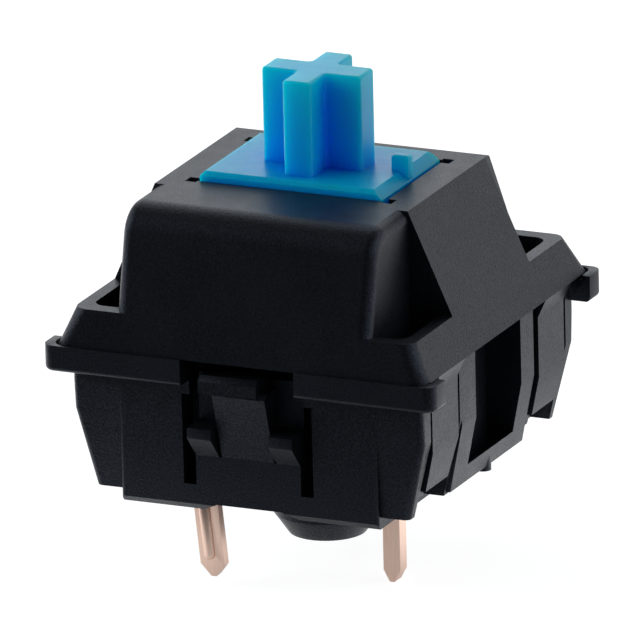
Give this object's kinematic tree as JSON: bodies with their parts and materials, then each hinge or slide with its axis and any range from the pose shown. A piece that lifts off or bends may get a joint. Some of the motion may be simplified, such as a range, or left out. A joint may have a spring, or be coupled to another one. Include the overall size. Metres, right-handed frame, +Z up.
{
  "type": "keyboard switch",
  "caption": "Plate-mounted mechanical key switch with a cross stem, return spring, click collar and leaf contact, soldered to a board beneath.",
  "frame": {"origin": "on the axis of the centre post, in the plane where the feet meet the circuit board", "axes": "+Z up along the stem, the way the key cap sits; -Y towards the side with the contacts; +X to the right seen from that side"},
  "size_m": [0.0156, 0.0156, 0.0185],
  "materials": {
    "housing_black": "satin",
    "stem_blue": "semi-gloss",
    "collar_white": "satin",
    "spring_steel": "drawn",
    "terminal_copper": "satin",
    "leaf_copper": "satin",
    "contact_gold": "polished"
  },
  "bodies": {
    "housing": {"lower_housing": "housing_black", "upper_housing": "housing_black", "leaf_terminal": "terminal_copper", "fixed_terminal": "terminal_copper", "fixed_contact_point": "contact_gold", "return_spring": "spring_steel"},
    "stem": {"plunger": "stem_blue"},
    "collar": {"click_collar": "collar_white"},
    "leaf": {"contact_leaf": "leaf_copper", "moving_contact_point": "contact_gold"}
  },
  "joints": [
    {"name": "plunger_slide", "type": "slide", "parent": "housing", "child": "stem", "axis": [0, 0, -1], "range_m": [0, 0.004], "stiffness_N_per_m": 90, "springref_m": -0.003, "deforming": ["return_spring"]},
    {"name": "collar_slide", "type": "slide", "parent": "stem", "child": "collar", "axis": [0, 0, 1], "range_m": [0, 0.001]},
    {"name": "leaf_flex", "type": "hinge", "parent": "housing", "child": "leaf", "pos_m": [0, -0.00488, 0.0013], "axis": [-1, 0, 0], "range_deg": [0, 3.1]}
  ],
  "couplings": [
    {"joint": "leaf_flex", "follows": "plunger_slide", "rad_per_m": 13.5}
  ]
}
